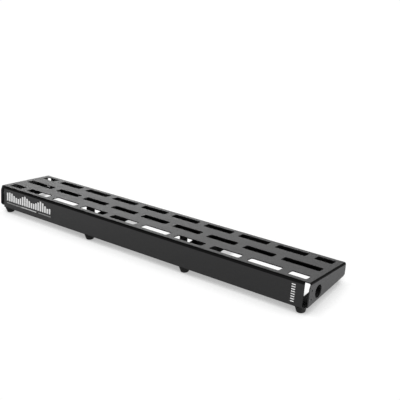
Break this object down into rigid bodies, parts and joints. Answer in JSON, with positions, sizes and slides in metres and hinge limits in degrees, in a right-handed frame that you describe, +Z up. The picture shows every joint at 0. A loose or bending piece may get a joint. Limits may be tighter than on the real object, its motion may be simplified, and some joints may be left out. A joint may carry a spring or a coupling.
{
  "type": "pedalboard",
  "caption": "Slim slotted pedalboard folded from black powder-coated aluminium sheet, tilted on rubber feet, with braced underside and socket holes in its ends.",
  "frame": {"origin": "centre of the footprint of the whole board, on the ground under its feet", "axes": "+X along the board to the right as seen from its tall side, -Y towards the tall side, +Z up"},
  "size_m": [0.812, 0.1534, 0.0629],
  "materials": {
    "deck_coat": "fine-textured black powder coat on folded aluminium sheet",
    "brace_coat": "fine-textured black powder coat on folded aluminium sheet",
    "foot_rubber": "matte black moulded rubber",
    "screw_steel": "zinc-plated steel",
    "nut_coat": "clinch nuts pressed in before coating, so under the same black powder coat"
  },
  "bodies": {
    "root": {"deck": "deck_coat", "cross_brace_left": "brace_coat", "cross_brace_right": "brace_coat", "foot_front_end_left": "foot_rubber", "foot_front_mid_left": "foot_rubber", "foot_front_mid_right": "foot_rubber", "foot_front_end_right": "foot_rubber", "foot_rear_end_left": "foot_rubber", "foot_rear_mid_left": "foot_rubber", "foot_rear_mid_right": "foot_rubber", "foot_rear_end_right": "foot_rubber", "foot_screws_end": "screw_steel", "foot_screws_mid": "screw_steel", "foot_washers": "screw_steel", "clinch_nuts_end": "nut_coat", "clinch_nuts_mid": "nut_coat"}
  },
  "joints": []
}
